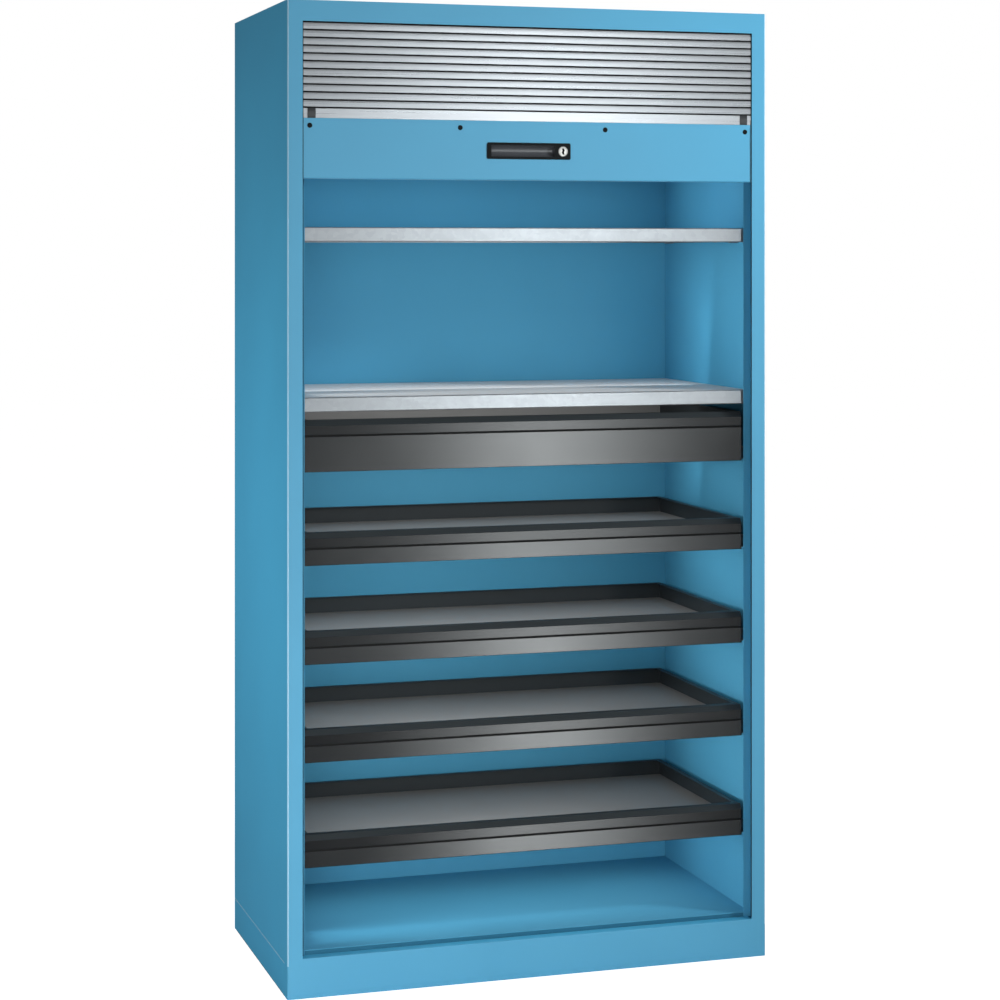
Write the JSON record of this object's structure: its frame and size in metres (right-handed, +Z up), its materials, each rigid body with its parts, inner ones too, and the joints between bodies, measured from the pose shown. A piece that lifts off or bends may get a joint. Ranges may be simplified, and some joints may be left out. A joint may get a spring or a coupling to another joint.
{
  "type": "roll front tool cabinet",
  "caption": "Tall steel tool cabinet with a slatted roll front, two shelves, one drawer and pull-out trays on double-extension slides.",
  "frame": {"origin": "centre of the footprint, on the floor", "axes": "+Z up, the open front looks along -Y, +X to the right seen from the front"},
  "size_m": [1, 0.58, 1.95],
  "materials": {
    "blue_paint": "light blue powder coat, fine texture, satin",
    "slat_aluminium": "natural anodised",
    "black_plastic": "moulded, matt",
    "lock_nickel": "nickel plated",
    "zinc_steel": "zinc plated",
    "bearing_plastic": "moulded",
    "galvanised": "galvanised sheet",
    "anthracite_paint": "anthracite powder coat, satin",
    "carriage_steel": "zinc plated, plastic tyred rollers"
  },
  "bodies": {
    "cabinet": {"side_panel_left": "blue_paint", "side_panel_right": "blue_paint", "side_wall_left": "blue_paint", "side_wall_right": "blue_paint", "guide_rail_left": "blue_paint", "guide_rail_right": "blue_paint", "rear_panel": "blue_paint", "rear_wall": "blue_paint", "top_panel": "blue_paint", "top_rail": "blue_paint", "sill": "blue_paint", "plinth": "blue_paint", "base_channels": "blue_paint", "floor_panel": "blue_paint", "box_cover": "blue_paint", "shaft_brackets": "zinc_steel", "shaft_axle": "zinc_steel", "balance_springs": "zinc_steel", "shelf_upper": "galvanised", "shelf_lower": "galvanised", "shelf_clips": "zinc_steel", "cabinet_rails": "zinc_steel", "curtain_section_7": "slat_aluminium"},
    "roll_front": {"curtain_slats": "slat_aluminium", "end_slat": "slat_aluminium", "stop_blocks": "black_plastic", "pull_panel": "blue_paint", "panel_buttons": "black_plastic", "handle_housing": "black_plastic", "lock_body": "lock_nickel", "rod_guides": "zinc_steel"},
    "lock": {"lock_plug": "lock_nickel", "lock_cam": "zinc_steel"},
    "rod_left": {"lock_rod_left": "zinc_steel"},
    "rod_right": {"lock_rod_right": "zinc_steel"},
    "shaft": {"spring_shaft": "zinc_steel", "shaft_bearings": "bearing_plastic", "belt_drums": "bearing_plastic"},
    "curtain_2": {"curtain_section_2": "slat_aluminium"},
    "curtain_3": {"curtain_section_3": "slat_aluminium"},
    "curtain_4": {"curtain_section_4": "slat_aluminium"},
    "curtain_5": {"curtain_section_5": "slat_aluminium"},
    "curtain_6": {"curtain_section_6": "slat_aluminium"},
    "drawer": {"drawer_front": "anthracite_paint", "drawer_body": "anthracite_paint"},
    "drawer_slides": {"drawer_carriage": "carriage_steel"},
    "tray_1": {"tray_1_front": "anthracite_paint", "tray_1_body": "anthracite_paint"},
    "tray_1_slides": {"tray_1_carriage": "carriage_steel"},
    "tray_2": {"tray_2_front": "anthracite_paint", "tray_2_body": "anthracite_paint"},
    "tray_2_slides": {"tray_2_carriage": "carriage_steel"},
    "tray_3": {"tray_3_front": "anthracite_paint", "tray_3_body": "anthracite_paint"},
    "tray_3_slides": {"tray_3_carriage": "carriage_steel"},
    "tray_4": {"tray_4_front": "anthracite_paint", "tray_4_body": "anthracite_paint"},
    "tray_4_slides": {"tray_4_carriage": "carriage_steel"}
  },
  "joints": [
    {"name": "roll_front_slide", "type": "slide", "parent": "cabinet", "child": "roll_front", "axis": [0, 0, 1], "range_m": [-1.52, 0]},
    {"name": "curtain_2_slide", "type": "slide", "parent": "cabinet", "child": "curtain_2", "axis": [0, 0, 1], "range_m": [-1.2616, 0]},
    {"name": "curtain_3_slide", "type": "slide", "parent": "cabinet", "child": "curtain_3", "axis": [0, 0, 1], "range_m": [-1.0032, 0]},
    {"name": "curtain_4_slide", "type": "slide", "parent": "cabinet", "child": "curtain_4", "axis": [0, 0, 1], "range_m": [-0.7448, 0]},
    {"name": "curtain_5_slide", "type": "slide", "parent": "cabinet", "child": "curtain_5", "axis": [0, 0, 1], "range_m": [-0.4864, 0]},
    {"name": "curtain_6_slide", "type": "slide", "parent": "cabinet", "child": "curtain_6", "axis": [0, 0, 1], "range_m": [-0.2432, 0]},
    {"name": "spring_shaft_turn", "type": "hinge", "parent": "cabinet", "child": "shaft", "pos_m": [0, -0.13, 1.8], "axis": [1, 0, 0], "range_deg": [0, 2292]},
    {"name": "rod_right_slide", "type": "slide", "parent": "roll_front", "child": "rod_right", "axis": [1, 0, 0], "range_m": [0, 0.01]},
    {"name": "rod_left_slide", "type": "slide", "parent": "roll_front", "child": "rod_left", "axis": [-1, 0, 0], "range_m": [0, 0.01]},
    {"name": "lock_turn", "type": "hinge", "parent": "roll_front", "child": "lock", "pos_m": [0.062, -0.28, 1.66], "axis": [0, 1, 0], "range_deg": [0, 90]},
    {"name": "drawer_slide", "type": "slide", "parent": "cabinet", "child": "drawer", "axis": [0, -1, 0], "range_m": [0, 0.43]},
    {"name": "drawer_carriage_slide", "type": "slide", "parent": "cabinet", "child": "drawer_slides", "axis": [0, -1, 0], "range_m": [0, 0.215]},
    {"name": "tray_1_slide", "type": "slide", "parent": "cabinet", "child": "tray_1", "axis": [0, -1, 0], "range_m": [0, 0.43]},
    {"name": "tray_1_carriage_slide", "type": "slide", "parent": "cabinet", "child": "tray_1_slides", "axis": [0, -1, 0], "range_m": [0, 0.215]},
    {"name": "tray_2_slide", "type": "slide", "parent": "cabinet", "child": "tray_2", "axis": [0, -1, 0], "range_m": [0, 0.43]},
    {"name": "tray_2_carriage_slide", "type": "slide", "parent": "cabinet", "child": "tray_2_slides", "axis": [0, -1, 0], "range_m": [0, 0.215]},
    {"name": "tray_3_slide", "type": "slide", "parent": "cabinet", "child": "tray_3", "axis": [0, -1, 0], "range_m": [0, 0.43]},
    {"name": "tray_3_carriage_slide", "type": "slide", "parent": "cabinet", "child": "tray_3_slides", "axis": [0, -1, 0], "range_m": [0, 0.215]},
    {"name": "tray_4_slide", "type": "slide", "parent": "cabinet", "child": "tray_4", "axis": [0, -1, 0], "range_m": [0, 0.43]},
    {"name": "tray_4_carriage_slide", "type": "slide", "parent": "cabinet", "child": "tray_4_slides", "axis": [0, -1, 0], "range_m": [0, 0.215]}
  ],
  "couplings": [
    {"joint": "curtain_2_slide", "follows": "roll_front_slide", "ratio": 0.83},
    {"joint": "curtain_3_slide", "follows": "roll_front_slide", "ratio": 0.66},
    {"joint": "curtain_4_slide", "follows": "roll_front_slide", "ratio": 0.49},
    {"joint": "curtain_5_slide", "follows": "roll_front_slide", "ratio": 0.32},
    {"joint": "curtain_6_slide", "follows": "roll_front_slide", "ratio": 0.16},
    {"joint": "spring_shaft_turn", "follows": "roll_front_slide", "rad_per_m": -26.316},
    {"joint": "rod_left_slide", "follows": "rod_right_slide", "ratio": 1},
    {"joint": "lock_turn", "follows": "rod_right_slide", "rad_per_m": 157.08},
    {"joint": "drawer_carriage_slide", "follows": "drawer_slide", "ratio": 0.5},
    {"joint": "tray_1_carriage_slide", "follows": "tray_1_slide", "ratio": 0.5},
    {"joint": "tray_2_carriage_slide", "follows": "tray_2_slide", "ratio": 0.5},
    {"joint": "tray_3_carriage_slide", "follows": "tray_3_slide", "ratio": 0.5},
    {"joint": "tray_4_carriage_slide", "follows": "tray_4_slide", "ratio": 0.5}
  ]
}
